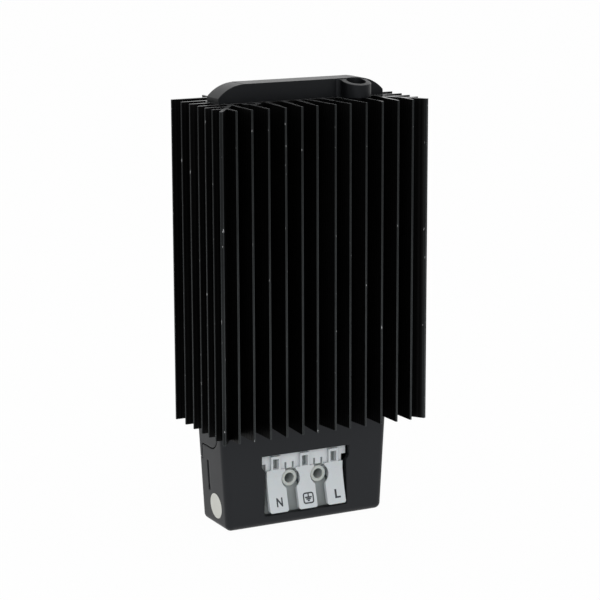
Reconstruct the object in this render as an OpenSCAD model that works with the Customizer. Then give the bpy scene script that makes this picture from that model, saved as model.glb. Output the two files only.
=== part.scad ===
// Finned enclosure heater: an extruded heat sink with a heating stack in its core, a moulded
// cap on top and a connection housing with a lever terminal below.
// Millimetres, +Z up, front towards -Y, origin in the middle of the base face.

/* [Heat sink] */
// Length of the extruded profile
sink_len = 101.1; // [100:0.1:200]
// Place of the core's middle plane, front is negative
core_y = -2.4; // [-2.8:0.1:-2]
// Width of the core
core_w = 56; // [54:0.5:58]
// Thickness of the core
core_t = 10; // [9:0.5:12]
// Reach of the side fins from the middle
side_reach = 35; // [33:0.5:40]
// Reach of the front and rear fins from the core's middle plane
fin_reach = 21; // [19:0.5:26]
// Thickness of a fin at its root
fin_root_t = 1.4; // [1:0.1:2]
// Thickness of a fin at its tip
fin_tip_t = 0.6; // [0.5:0.1:1.4]
// Thickness of the slanted corner fins at their root
corner_fin_t = 1.7; // [1.4:0.1:2.2]
// Thickness of the slanted corner fins at their tip
corner_tip_t = 1; // [0.8:0.1:1.4]
// How far the inner front fins lean outwards
fin_lean = 1.5; // [0:0.1:2]
// Distance of the screw channels from the middle
channel_x = 18.1; // [17:0.1:19]
// Distance of the screw channels from the core's middle plane
channel_y = 6.3; // [6:0.1:6.6]
// Radius of a screw channel
channel_r = 1.45; // [1.2:0.05:1.7]
// Wall round a screw channel
channel_wall = 1.7; // [1.2:0.1:2.2]
// Width of the seat for the rail clip
seat_w = 16; // [14:0.5:17]
// Thickness of that seat
seat_t = 2.4; // [2:0.1:3]
// Thickness of the two webs that carry the seat
seat_web_t = 1.6; // [1:0.1:2]

/* [Heating stack] */
// Width of a heating stone
stone_w = 24; // [20:0.5:26]
// Height of a heating stone
stone_h = 24; // [16:0.5:25]
// Thickness of a heating stone
stone_t = 2.3; // [2:0.1:2.6]
// Gap between two stones
stone_gap = 1.5; // [0.5:0.1:2]
// Thickness of an electrode plate
electrode_t = 0.85; // [0.5:0.05:1]
// Width of an electrode's tab
tab_w = 5; // [3:0.5:6]
// Thickness of the insulating film
sleeve_t = 0.3; // [0.2:0.05:0.4]

/* [Cap] */
// Length of the cap
cap_len = 56.6; // [50:0.2:60]
// How far the cap lies to the right of the middle
cap_shift = 0.5; // [0:0.1:1]
// Depth of the cap, front to back
cap_d = 8; // [7:0.5:9]
// Height of the cap
cap_h = 5.7; // [5:0.1:8]
// Height of the upright part of its ends
cap_end_h = 1.7; // [1:0.1:3]
// Length of its curved ends
cap_end_run = 9; // [6:0.1:10]
// Radius of the screw boss
boss_r = 4.65; // [4.4:0.05:5.5]
// Radius of the screw well
well_r = 3.05; // [2.9:0.05:3.3]
// Slope of the boss's top towards the front, in degrees
boss_tilt = 13; // [5:1:16]
// Radius of the fillet between the boss and the bar
boss_fillet = 1.6; // [0.8:0.1:2.4]
// Thickness of the floor under the screw head
well_floor = 1.4; // [1:0.1:2]
// Depth of the spigot in the chamber
spigot_h = 6; // [4:0.5:8]

/* [Connection housing] */
// Height of the housing
housing_h = 32.6; // [32:0.1:36]
// Width at the top
housing_top_w = 58.6; // [57:0.2:60]
// Width at the bottom
housing_bottom_w = 55.1; // [54:0.1:57]
// Depth, front to back
housing_d = 18.6; // [18:0.1:21]
// Wall thickness
housing_wall = 2; // [1.6:0.1:2.4]
// Radius of the rounded edges
housing_edge_r = 2; // [1:0.1:2.5]
// Gap of the seam between cover and base
seam_gap = 0.45; // [0.2:0.05:0.5]
// Height of the seam on the sides
seam_z = 25.8; // [25:0.1:26]
// Front end of the base's side skirts
seam_y = -5.7; // [-6:0.1:-4]
// Radius of the rounded skirt corner
seam_r = 5; // [1:0.5:5]
// Lower end of the base's rear leg
leg_z = 21; // [19:0.1:22]
// Thickness of the base's top plate
plate_t = 2; // [1.6:0.1:2.4]

/* [Terminal] */
// Distance from pole to pole
pole_pitch = 10.2; // [10:0.1:10.6]
// Upper edge of the window
window_top = 22.9; // [22.5:0.1:23.5]
// Lower edge of the window
window_bottom = 3.5; // [3:0.1:3.8]
// Width of the window at its ears
window_w = 30.9; // [30.6:0.1:31.5]
// Width over the header's ears
header_w = 30; // [29.4:0.1:30.2]
// How far the header lies behind the housing's front
header_inset = 1.7; // [1.2:0.1:2]
// Height of the header
header_h = 5.7; // [5:0.1:5.8]
// Radius of a screw tube
tube_r = 2.6; // [2.4:0.05:2.7]
// Radius of the opening in a screw tube
tube_bore_r = 1.65; // [1.6:0.05:1.8]
// Height of the screw tubes
tube_z = 14.4; // [14:0.1:14.6]
// Width of a lever at its free end
paddle_w = 6.5; // [5.5:0.1:6.6]
// Thickness of a lever
lever_t = 1.4; // [1:0.1:1.5]
// How far a lever's free end stands out from its upper part
lever_flare = 2.6; // [1.5:0.1:3]
// Lower end of the levers
lever_bottom = 4.6; // [4.6:0.1:6]
// Width of a lever's stem
stem_w = 3.4; // [3:0.1:3.6]
// Radius of a lever's pivot pin
pivot_r = 0.8; // [0.6:0.05:0.9]
// Running clearance of the pivot
pivot_fit = 0.06; // [0.03:0.01:0.1]

/* [Rail clip] */
// Width of the clip
clip_w = 14; // [10:0.5:16]
// Thickness of its spring steel
clip_t = 1.2; // [0.8:0.1:1.5]
// Height of the mounting rail that it grips
rail_w = 35; // [35:1:36]
// Room for the rail's edge
rail_gap = 1.4; // [1.2:0.1:1.6]
// Reach of its hooks over the rail's edge
hook_reach = 3; // [2:0.5:4]
// Distance between its screws
clip_screw_pitch = 14; // [12:0.5:16]

/* [Hidden] */

$fn = 48;
bite = 0.5;             // how deep one form runs into the next of the same piece
loose = 0.3;            // clearance between fitted pieces
screw_fit = 0.05;       // clearance of a screw in its hole
past = 1;               // how far a cut runs past a face
crease = 0.05;          // how far curves overlap where they run into each other

// Heat sink: distances in its cross-section, front is negative
front_fin_x = [3.1, 8.2, 13.7, 19.3, 24.8, 29.9];
leaning_fins = 3;
rear_fin_x = [12, 16.6, 21.3];
side_fin_y = [-14.9, -9.9, -4.9, 1.1, 7.2, 14.5];
outer_rear_x = rear_fin_x[2];
corner_root_x = 23.5;   // where a corner fin leaves the core
slant = (side_reach - corner_root_x) / (fin_reach - core_t / 2);
sink_z = housing_h;
sink_top = sink_z + sink_len;
seat_y = core_y + fin_reach;

// Heating stack
stone_count = 3;
stack_side = 1;         // free space beside the stones in the sleeve
sleeve_w = stone_w + 2 * stack_side + 2 * sleeve_t;
chamber_t = stone_t + 2 * electrode_t + 2 * sleeve_t;
stack_len = stone_count * stone_h + (stone_count - 1) * stone_gap;
stack_lift = 6;
stack_z = sink_z + stack_lift;
stack_margin = 2;       // how far electrodes and sleeve run past the stones
tab_x = 6;
tab_drop = 4;           // how far the tabs reach below the profile

// Screws: head radius, head height, length
small_head = [2.75, 1.9];
screw_len = 12;
recess_w = 0.8;
recess_d = 0.9;
recess_share = 0.6;     // length of a recess as a share of the head's width
cap_screw_r = channel_r - screw_fit;
block_head = [1.5, 1.2];
block_screw_r = 0.95;
clip_head = [3.4, 1.7];
clip_screw_r = 1.6;
clip_screw_len = 6;

// Connection housing
front_y = -housing_d / 2;
rear_y = housing_d / 2;
plate_z = housing_h - plate_t;
skirt_leg_y = 6.2;
skirt_leg_r = 1.4;      // rounded turn of the seam above the base's leg
notch_z = 12;           // recess on the back, below the base's leg
notch_d = 0.8;
latch_y = 2.4;          // latch and its slot on the sides
latch_w = 3;
latch_t = 1.4;
latch_nose_z = 12;
slot_w = 1.2;
slot_top = 20.9;
slot_open = 2;
slot_d = 0.8;

// Terminal
poles = [-1, 0, 1];
header_y = front_y + header_inset;
body_step = 1.2;        // the body's front lies this far behind the header's
body_d = 9.8;
body_y = header_y + body_step;
body_rear = body_y + body_d;
body_w = 28.4;
body_bottom = housing_wall + loose;
header_bottom = window_top - header_h;
ear_h = 3.1;
ear_w = 1.6;
tube_clear = 0.65;      // between a screw tube and a lever
tube_lip = 0.5;         // thickness of a lever at the edge round a tube
lever_proud = 1;        // a lever's front stands this far before the header
lever_y = header_y - lever_proud;
pivot_depth = 2;
pivot_y = header_y + pivot_depth;
pivot_rise = 1.7;       // height of the pivots above the screw tubes
pivot_z = tube_z + pivot_rise;
bend_drop = 0.5;        // below the pivot a lever starts to curve out
bend_z = pivot_z - bend_drop;
flare_power = 1.3;
paddle_lap = 0.6;
paddle_top = header_bottom + paddle_lap;
thin_z = header_bottom - bend_drop;   // above this a lever is thin, to pass in front of the header
stem_short = 0.7;
stem_top = window_top - stem_short;
lever_window = [2, 3.3];
lever_window_lift = 0.8;
lever_window_z = header_bottom + lever_window_lift;
lever_window_d = 1.6;
paddle_r = 0.7;
rib_w = 2.4;
rib_play = 0.5;
throat_w = rib_w + 2 * rib_play;    // narrow front part of a wire pocket, with the rib in it
throat_d = 3.3;
throat_top = pivot_z + pivot_r + loose;
pin_end = 1.2;          // how far a pivot pin reaches into each side of the throat
pin_len = throat_w + 2 * pin_end;
cam_z = 13;
cam_slope = 1;
side_pocket_h = 1.8;    // small pocket between a throat and a screw tube
side_pocket_w = pole_pitch / 2 - tube_r - throat_w / 2 - screw_fit;
side_pocket_drop = 2;
side_pocket_z = tube_z - side_pocket_drop;
pocket_w = 5.8;
pocket_bottom = 5.6;
pocket_top = 15;
bar_t = 1;
bar_w = 5;
bar_inset = 1.8;
bar_y = body_rear - bar_inset;
bar_bottom = 6;
bar_rise = 2.7;         // the bars stand this far above the window for the leads
bar_top = window_top + bar_rise;
spring_t = 0.4;
spring_w = 4;
spring_r = 1.9;
spring_top_z = 12.6;
tube_depth = 8;
tube_floor_y = header_y + tube_depth;
tongue_w = 2.6;         // snap tongue above each screw tube
slit_w = 0.7;
slit_h = 2.6;
slit_d = 1;

// Base: carrier behind the terminal block
carrier_w = 29;
carrier_t = 2;
carrier_bottom = 8;

// Earth connection
earth_x = 22.5;
earth_r = 3.3;
earth_t = 0.8;
earth_depth = 10;
earth_head = [1.5 * channel_r, 1.4];
barrel_r = 1.3;
barrel_len = 4.8;
barrel_x = earth_x - earth_head[0] - barrel_r - loose;
barrel_z = sink_z - barrel_len;

// Leads
lead_r = 0.9;
lead_drop = 3;          // a lead leaves its tab or barrel straight down for about this far
lead_bend = 3.6;        // and comes to its bar from the front over about this far
lead_sides = 8;
lead_steps = 10;
lead_z = (window_top + bar_top) / 2;

// Rail clip
rail_z = sink_z + sink_len / 2;
clip_y = seat_y + clip_t;
lip_y = clip_y + rail_gap;
rail_play = 0.4;
hook_top = rail_z + rail_w / 2 + rail_play;
hook_low = rail_z - rail_w / 2 - rail_play;
turn_r = 1.2;
leaf_len = 8;
turn_z = hook_low - leaf_len;
clip_hole_r = 2.1;

black = "#1c1d1e";
housing_black = "#2b2d2e";
white = "#dfe3e4";
steel = "#b9bcc0";
copper = "#c9a37a";

// Half the housing's width at height z
function housing_half(z) =
    (housing_bottom_w + (housing_top_w - housing_bottom_w) * z / housing_h) / 2;

// Point on a cubic curve with four control points
function curve_point(c, t) =
    pow(1 - t, 3) * c[0] + 3 * t * pow(1 - t, 2) * c[1] + 3 * t * t * (1 - t) * c[2] + pow(t, 3) * c[3];

// Direction of that curve
function curve_dir(c, t) =
    let (d = pow(1 - t, 2) * (c[1] - c[0]) + 2 * t * (1 - t) * (c[2] - c[1]) + t * t * (c[3] - c[2]))
    d / norm(d);

// Front face of a lever at height z: upright above the bend, flaring out below it
function lever_front(z) =
    z >= bend_z ? lever_y : lever_y - lever_flare * pow((bend_z - z) / (bend_z - lever_bottom), flare_power);

// Middle line of a corner fin: its distance from the middle at depth y, and its depth at distance x
function slant_x(y) = corner_root_x - slant * (y + core_t / 2);
function slant_y(x) = -core_t / 2 - (x - corner_root_x) / slant;

module both_sides() {
    children();
    mirror([1, 0, 0]) children();
}

// Turns a front view (x, z) into a solid that runs from y towards the front
module from_front(y, depth) {
    translate([0, y, 0]) rotate([90, 0, 0]) linear_extrude(depth) children();
}

// Turns a side view (y, z) into a solid that is centred on x
module from_side(x, width) {
    translate([x - width / 2, 0, 0]) rotate([90, 0, 90]) linear_extrude(width) children();
}

// Pan-head screw with a cross recess, seat of the head at z = 0, pointing down
module screw(head, shank_r, length) {
    difference() {
        union() {
            cylinder(r = head[0], h = head[1]);
            translate([0, 0, -length]) cylinder(r = shank_r, h = length + bite);
        }
        for (a = [0, 90]) rotate(a)
            translate([-head[0] * recess_share, -recess_w / 2, head[1] - recess_d])
                cube([2 * head[0] * recess_share, recess_w, recess_d + past]);
    }
}

// Heat sink
module fin(root, tip, root_t = fin_root_t, tip_t = fin_tip_t) {
    run = tip - root;
    across = [-run[1], run[0]] / norm(run) / 2;
    polygon([root + across * root_t, root - across * root_t, tip - across * tip_t, tip + across * tip_t]);
}

// Front fins: the inner ones stand on the core, the outer ones on the corner fin
module front_fins() {
    for (i = [0 : len(front_fin_x) - 1]) {
        x = front_fin_x[i];
        root_y = x > corner_root_x ? slant_y(x) : -core_t / 2;
        fin([x - (i < leaning_fins ? fin_lean : 0), root_y + bite], [x, -fin_reach]);
    }
    fin([corner_root_x, -core_t / 2 + bite], [side_reach, -fin_reach], corner_fin_t, corner_tip_t);
}

// Side fins: on the corner fin, on the core's end and on the outer rear fin
module side_fins() {
    for (y = side_fin_y) {
        root_x = y < -core_t / 2 + fin_root_t ? slant_x(y)
            : y > core_t / 2 ? outer_rear_x : core_w / 2 - bite;
        fin([root_x, y], [side_reach, y]);
    }
}

module sink_profile() {
    difference() {
        union() {
            square([core_w, core_t], center = true);
            both_sides() {
                front_fins();
                side_fins();
                for (x = rear_fin_x)
                    fin([x, core_t / 2 - bite], [x, fin_reach],
                        x == outer_rear_x ? corner_fin_t : fin_root_t);
                for (s = [-1, 1]) translate([channel_x, s * channel_y]) circle(r = channel_r + channel_wall);
                translate([seat_w / 2 - seat_web_t, core_t / 2 - bite])
                    square([seat_web_t, fin_reach - core_t / 2]);
            }
            translate([-seat_w / 2, fin_reach - seat_t]) square([seat_w, seat_t]);
        }
        square([sleeve_w, chamber_t], center = true);
        for (sx = [-1, 1], sy = [-1, 1]) translate([sx * channel_x, sy * channel_y]) circle(r = channel_r);
    }
}

module heatsink() {
    color(black) difference() {
        translate([0, core_y, sink_z]) linear_extrude(sink_len) sink_profile();
        clip_screw_places() cylinder(r = clip_screw_r + screw_fit, h = 2 * (seat_t + past), center = true);
        translate([earth_x, core_y, sink_z - past]) cylinder(r = channel_r, h = earth_depth + past);
    }
}

// Cap
module cap_profile() {
    rise = cap_h - cap_end_h;
    arc_r = (cap_end_run * cap_end_run + rise * rise) / (2 * rise);
    flat = cap_len / 2 - cap_end_run;
    translate([cap_shift, 0]) {
        translate([-flat - bite, 0]) square([2 * (flat + bite), cap_h]);
        both_sides() intersection() {
            translate([flat - bite, 0]) square([cap_end_run + bite, cap_h + past]);
            translate([flat, cap_h - arc_r - crease]) circle(r = arc_r, $fn = 120);
        }
    }
}

// Plan of the boss and its fillets, the bar's front face at y = 0
module boss_plan() {
    out = channel_y - cap_d / 2;
    reach = sqrt(pow(boss_r + boss_fillet, 2) - pow(out - boss_fillet, 2)) - 2 * crease;
    translate([0, -out]) circle(r = boss_r);
    both_sides() difference() {
        polygon([[0, -out], [reach, -boss_fillet], [reach, bite], [0, bite]]);
        translate([reach, crease - boss_fillet]) circle(r = boss_fillet);
    }
}

// The cap's outline, carried on to the front and tilted: it bounds the boss from above
module boss_roof() {
    translate([0, bite, cap_h - crease]) rotate([boss_tilt, 0, 0]) translate([0, 0, -cap_h])
        from_front(bite, 4 * boss_r) {
            cap_profile();
            translate([cap_shift - cap_len / 2, -2 * cap_h]) square([cap_len, 2 * cap_h + bite]);
        }
}

module end_cap() {
    bar_front = core_y - cap_d / 2;
    color(housing_black) difference() {
        union() {
            translate([0, 0, sink_top]) from_front(core_y + cap_d / 2, cap_d) cap_profile();
            translate([0, bar_front, sink_top]) intersection() {
                translate([channel_x, 0, 0]) linear_extrude(cap_h) boss_plan();
                boss_roof();
            }
            translate([-sleeve_w / 2 + loose, core_y - chamber_t / 2 + loose, sink_top - spigot_h])
                cube([sleeve_w - 2 * loose, chamber_t - 2 * loose, spigot_h + bite]);
        }
        translate([channel_x, core_y - channel_y, sink_top - past]) {
            cylinder(r = channel_r + loose, h = cap_h);
            translate([0, 0, well_floor + past]) cylinder(r = well_r, h = cap_h);
        }
    }
}

module cap_screw() {
    color(steel) translate([channel_x, core_y - channel_y, sink_top + well_floor])
        screw(small_head, cap_screw_r, screw_len);
}

// Connection housing
module housing_solid() {
    bottom_x = housing_bottom_w / 2 - housing_edge_r;
    top_x = housing_top_w / 2 - housing_edge_r;
    corner_y = housing_d / 2 - housing_edge_r;
    hull() for (sx = [-1, 1], sy = [-1, 1]) {
        translate([sx * top_x, sy * corner_y, housing_h - past])
            cylinder(r = housing_edge_r, h = past, $fn = 32);
        translate([sx * bottom_x, sy * corner_y, housing_edge_r]) sphere(r = housing_edge_r, $fn = 32);
        translate([sx * bottom_x, sy * corner_y, 0]) cylinder(r = housing_edge_r / 5, h = past, $fn = 32);
    }
}

module housing_shell() {
    low = housing_half(housing_wall) - housing_wall;
    high = housing_half(housing_h + past) - housing_wall;
    difference() {
        housing_solid();
        from_front(rear_y - housing_wall, housing_d - 2 * housing_wall)
            polygon([
                [-low, housing_wall], [low, housing_wall], [high, housing_h + past], [-high, housing_h + past]
            ]);
    }
}

// Side view of the part of the shell that belongs to the base, grown by a gap
module base_region(gap) {
    corner = seam_r + gap;
    far = rear_y + past;
    from_side(0, housing_top_w + 2 * past) {
        translate([seam_y - gap, seam_z - gap + corner])
            square([far - seam_y + gap, housing_h + past - seam_z + gap - corner]);
        translate([seam_y - gap + corner, seam_z - gap])
            square([far - seam_y + gap - corner, housing_h + past - seam_z + gap]);
        translate([seam_y - gap + corner, seam_z - gap + corner]) circle(r = corner);
        translate([skirt_leg_y - gap, leg_z - gap]) square([far - skirt_leg_y + gap, seam_z - leg_z + bite]);
        translate([skirt_leg_y - skirt_leg_r, seam_z - skirt_leg_r]) difference() {
            square(skirt_leg_r + bite);
            circle(r = skirt_leg_r - gap + crease);
        }
    }
}

// Front view of the window: wide at the header's ears, tapering below them
module window_outline() {
    ears = window_w / 2;
    ear_z = window_top - ear_h - loose;
    waist = header_w / 2 - ear_w + past;
    foot = waist + loose;
    both_sides() polygon([
        [-bite, window_top], [ears, window_top], [ears, ear_z], [waist, ear_z - ear_w],
        [foot, window_bottom], [-bite, window_bottom]
    ]);
}

module terminal_cover() {
    color(housing_black) difference() {
        housing_shell();
        base_region(seam_gap);
        from_front(front_y + housing_wall + bite, housing_wall + bite + past) window_outline();
        both_sides() {
            translate([housing_half(slot_top) - slot_d, latch_y - slot_w / 2, latch_nose_z])
                cube([housing_wall + past, slot_w, slot_top - latch_nose_z]);
            translate([housing_half(latch_nose_z) - housing_wall - past, latch_y, latch_nose_z])
                translate([0, -slot_w / 2, -slot_open / 2])
                    cube([housing_wall + 2 * past, slot_w, slot_open]);
        }
        translate([-housing_top_w, rear_y - notch_d, notch_z])
            cube([2 * housing_top_w, notch_d + past, leg_z - notch_z]);
    }
}

// Spring arm on each side of the base, its nose in the cover's slot
module latch_arm() {
    outer = housing_half(latch_nose_z) - housing_wall - loose;
    nose = housing_wall + loose - slot_d;
    end_z = latch_nose_z - slot_open / 2;
    translate([outer - latch_t, latch_y - latch_w / 2, end_z])
        cube([latch_t, latch_w, plate_z - end_z + bite]);
    translate([outer - bite, latch_y - slot_w / 2 + screw_fit, end_z + loose])
        cube([nose + bite, slot_w - 2 * screw_fit, slot_open - 2 * loose]);
}

module terminal_base() {
    inner = housing_half(plate_z) - housing_wall;
    plate_front = front_y + housing_wall + loose;
    plate_rear = rear_y - housing_wall + bite;
    color(housing_black) difference() {
        union() {
            intersection() {
                housing_shell();
                base_region(0);
            }
            translate([-inner + loose, plate_front, plate_z])
                cube([2 * (inner - loose), plate_rear - plate_front, plate_t]);
            translate([-inner - bite, seam_y, plate_z])
                cube([2 * (inner + bite), plate_rear - seam_y, plate_t]);
            translate([-carrier_w / 2, body_rear, carrier_bottom])
                cube([carrier_w, carrier_t, plate_z - carrier_bottom + bite]);
            both_sides() latch_arm();
        }
        translate([-sleeve_w / 2 - loose, core_y - chamber_t / 2 - loose, plate_z - past])
            cube([sleeve_w + 2 * loose, chamber_t + 2 * loose, plate_t + 2 * past]);
        base_screw_places() cylinder(r = channel_r + loose, h = 2 * (plate_t + past), center = true);
        translate([earth_x, core_y, plate_z - past])
            cylinder(r = earth_r + 2 * loose, h = plate_t + 2 * past);
        translate([barrel_x, core_y, plate_z - past])
            cylinder(r = barrel_r + 2 * loose, h = plate_t + 2 * past);
        for (s = [-1, 1]) translate([s * pole_pitch / 2, body_rear - past, tube_z]) rotate([-90, 0, 0])
            cylinder(r = block_screw_r + screw_fit, h = carrier_t + 2 * past);
    }
}

module base_screw_places() {
    for (s = [-1, 1]) translate([s * channel_x, core_y + channel_y, plate_z]) rotate([180, 0, 0]) children();
}

module base_screws() {
    color(steel) base_screw_places() screw(small_head, cap_screw_r, screw_len);
}

// Terminal
module ear_outline() {
    translate([-header_w / 2, window_top - ear_h]) square([header_w, ear_h]);
    translate([-header_w / 2 + ear_w, header_bottom]) square([header_w - 2 * ear_w, header_h]);
}

// Two slits that free a small snap tongue above a screw tube
module tongue_slits() {
    for (s = [-1, 1]) translate([s * tongue_w / 2 - slit_w / 2, tube_z + tube_r]) square([slit_w, slit_h]);
    translate([-tongue_w / 2, tube_z + tube_r]) square([tongue_w, slit_w]);
}

module terminal_block() {
    color(white) difference() {
        union() {
            translate([-body_w / 2, body_y, body_bottom])
                cube([body_w, body_rear - body_y, window_top - body_bottom]);
            from_front(body_y + bite, body_y + bite - header_y) ear_outline();
            for (s = [-1, 1]) translate([s * pole_pitch / 2, header_y, tube_z]) rotate([-90, 0, 0])
                cylinder(r = tube_r, h = body_y - header_y + bite);
        }
        for (s = [-1, 1]) translate([s * pole_pitch / 2, 0, 0]) {
            translate([0, header_y - past, tube_z]) rotate([-90, 0, 0])
                cylinder(r = tube_bore_r, h = tube_floor_y - header_y + past);
            translate([0, tube_floor_y - past, tube_z]) rotate([-90, 0, 0])
                cylinder(r = block_screw_r + screw_fit, h = body_rear - tube_floor_y + 2 * past);
            from_front(header_y + slit_d, slit_d + past) tongue_slits();
        }
        for (p = poles) translate([p * pole_pitch, 0, 0]) {
            translate([-lever_window[0] / 2, header_y - past, lever_window_z])
                cube([lever_window[0], lever_window_d + past, lever_window[1]]);
            translate([-pin_len / 2 - loose, pivot_y, pivot_z]) rotate([0, 90, 0])
                cylinder(r = pivot_r + pivot_fit, h = pin_len + 2 * loose);
            translate([-throat_w / 2, body_y - past, pocket_bottom])
                cube([throat_w, throat_d + 2 * past, throat_top - pocket_bottom]);
            translate([-throat_w / 2 - side_pocket_w, body_y - past, side_pocket_z])
                cube([throat_w + 2 * side_pocket_w, throat_d + past, side_pocket_h]);
            translate([-pocket_w / 2, body_y + throat_d, pocket_bottom])
                cube([pocket_w, bar_y - body_y - throat_d, pocket_top - pocket_bottom]);
            translate([-bar_w / 2, bar_y, bar_bottom]) cube([bar_w, bar_t, window_top - bar_bottom + past]);
        }
    }
}

module block_screws() {
    color(steel) for (s = [-1, 1]) translate([s * pole_pitch / 2, tube_floor_y, tube_z]) rotate([90, 0, 0])
        screw(block_head, block_screw_r, body_rear - tube_floor_y + carrier_t - loose);
}

// Lever: a flared plate cut to its front outline, with a rib, a cam and a pivot pin behind it
module lever_side() {
    steps = 8;
    heights = [for (i = [0 : steps]) bend_z + (lever_bottom - bend_z) * i / steps];
    polygon(concat(
        [[header_y - loose, thin_z], [header_y - loose, stem_top], [lever_y, stem_top]],
        [for (z = heights) [lever_front(z), z]],
        [for (i = [steps : -1 : 0]) [lever_front(heights[i]) + lever_t, heights[i]]],
        [[lever_y + lever_t, thin_z]]
    ));
}

module lever_outline(tubes) {
    half = paddle_w / 2;
    difference() {
        union() {
            translate([-stem_w / 2, paddle_top - bite]) square([stem_w, stem_top - paddle_top + bite]);
            translate([-half, lever_bottom + paddle_r])
                square([paddle_w, paddle_top - lever_bottom - paddle_r]);
            translate([-half + paddle_r, lever_bottom]) square([paddle_w - 2 * paddle_r, 2 * paddle_r]);
            for (s = [-1, 1]) translate([s * (half - paddle_r), lever_bottom + paddle_r])
                circle(r = paddle_r);
        }
        tube_rounds(tubes, tube_r + tube_clear);
        translate([-lever_window[0] / 2, lever_window_z]) square(lever_window);
    }
}

// Rounds about the screw tubes beside a lever
module tube_rounds(tubes, r) {
    for (t = tubes) translate([t * pole_pitch / 2, tube_z]) circle(r = r);
}

// A lever's side view, moved back by shift and cut to a front outline
module lever_plate(shift) {
    intersection() {
        translate([0, shift, 0]) from_side(0, 2 * paddle_w) lever_side();
        from_front(lever_y + 2 * lever_t + shift, 2 * lever_t + 2 * lever_flare + shift) children();
    }
}

module rib_side() {
    back = lever_y + lever_t - bite;
    polygon([
        [back, pivot_z + pivot_r / 2], [pivot_y + pivot_r, pivot_z + pivot_r / 2],
        [pivot_y + pivot_r, cam_z], [back, cam_z - cam_slope]
    ]);
}

module lever(pole, tubes) {
    color(white) translate([pole * pole_pitch, 0, 0]) {
        difference() {
            lever_plate(0) lever_outline(tubes);
            lever_plate(tube_lip) tube_rounds(tubes, tube_r + tube_clear + bite);
        }
        from_side(0, rib_w) rib_side();
        translate([-pin_len / 2, pivot_y, pivot_z]) rotate([0, 90, 0]) cylinder(r = pivot_r, h = pin_len);
    }
}

// Bent leaf spring that presses a wire against the contact bar
module clamp_spring(pole) {
    back = bar_y - spring_t;
    turn_y = bar_y - spring_r;
    foot_z = bar_bottom + past;
    color(steel) from_side(pole * pole_pitch, spring_w) {
        translate([back, foot_z]) square([spring_t, spring_top_z - foot_z]);
        translate([turn_y, spring_top_z]) intersection() {
            difference() {
                circle(r = spring_r);
                circle(r = spring_r - spring_t);
            }
            translate([-2 * spring_r, 0]) square([4 * spring_r, 2 * spring_r]);
        }
        translate([turn_y - spring_r, foot_z + past]) square([spring_t, spring_top_z - foot_z - past]);
    }
}

module contact_bar(pole) {
    color(copper) translate([pole * pole_pitch - bar_w / 2, bar_y, bar_bottom])
        cube([bar_w, bar_t, bar_top - bar_bottom]);
}

// Heating stack
module ptc_stone(i) {
    color("#8d8f92") translate([-stone_w / 2, core_y - stone_t / 2, stack_z + i * (stone_h + stone_gap)])
        cube([stone_w, stone_t, stone_h]);
}

// Side is -1 for the front plate and 1 for the rear plate
module electrode(side) {
    low = side < 0 ? core_y - stone_t / 2 - electrode_t : core_y + stone_t / 2;
    tab_end = sink_z - tab_drop;
    color(steel) {
        translate([-stone_w / 2, low, stack_z - stack_margin])
            cube([stone_w, electrode_t, stack_len + 2 * stack_margin]);
        translate([side * tab_x - tab_w / 2, low, tab_end])
            cube([tab_w, electrode_t, stack_z - stack_margin - tab_end + bite]);
    }
}

module insulating_sleeve() {
    low = stack_z - 2 * stack_margin;
    length = stack_len + 4 * stack_margin;
    color("#c58a2e") translate([0, core_y, low]) linear_extrude(length) difference() {
        square([sleeve_w, chamber_t], center = true);
        square([sleeve_w - 2 * sleeve_t, chamber_t - 2 * sleeve_t], center = true);
    }
}

// Leads: a tube swept along a cubic curve
module lead(c, side) {
    rings = [for (i = [0 : lead_steps])
        let (t = i / lead_steps, d = curve_dir(c, t), n = cross(d, side), u = n / norm(n), v = cross(d, u))
        for (k = [0 : lead_sides - 1])
            curve_point(c, t) + lead_r * (u * cos(360 * k / lead_sides) + v * sin(360 * k / lead_sides))];
    last = lead_steps * lead_sides;
    faces = concat(
        [[for (k = [0 : lead_sides - 1]) k]],
        [[for (k = [lead_sides - 1 : -1 : 0]) last + k]],
        [for (i = [0 : lead_steps - 1], k = [0 : lead_sides - 1], half = [0, 1])
            let (a = i * lead_sides, c = a + lead_sides, b = (k + 1) % lead_sides)
            half == 0 ? [a + k, c + k, c + b] : [a + k, c + b, a + b]]
    );
    polyhedron(points = rings, faces = faces);
}

// Route from an electrode's tab to the front of its contact bar
module tab_lead(side) {
    tab = [side * tab_x, core_y + side * (stone_t + electrode_t) / 2, sink_z - tab_drop];
    bar = [side * pole_pitch, bar_y, lead_z];
    lead([tab, tab - [0, 0, lead_drop], bar - [0, lead_bend, 0], bar], [side, 1, 1]);
}

module lead_n() { color("#3f6fb5") tab_lead(-1); }

module lead_l() { color("#7a5236") tab_lead(1); }

module lead_earth() {
    start = [barrel_x, core_y, barrel_z];
    bar = [0, bar_y, lead_z];
    color("#8fae3a") lead([start, start - [0, 0, barrel_len], bar - [0, 3 * lead_bend, 0], bar], [0.3, 1, 1]);
}

// Ring under the earth screw, with its crimp barrel bent down
module earth_ring() {
    color(steel) difference() {
        union() {
            translate([earth_x, core_y, sink_z - earth_t]) cylinder(r = earth_r, h = earth_t);
            translate([barrel_x, core_y, barrel_z])
                cylinder(r = barrel_r, h = sink_z - earth_t - barrel_z + bite / 2);
        }
        translate([earth_x, core_y, sink_z - earth_t - past])
            cylinder(r = channel_r + loose / 2, h = earth_t + 2 * past);
    }
}

module earth_screw() {
    color(steel) translate([earth_x, core_y, sink_z - earth_t]) rotate([180, 0, 0])
        screw(earth_head, cap_screw_r, earth_depth - past);
}

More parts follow.
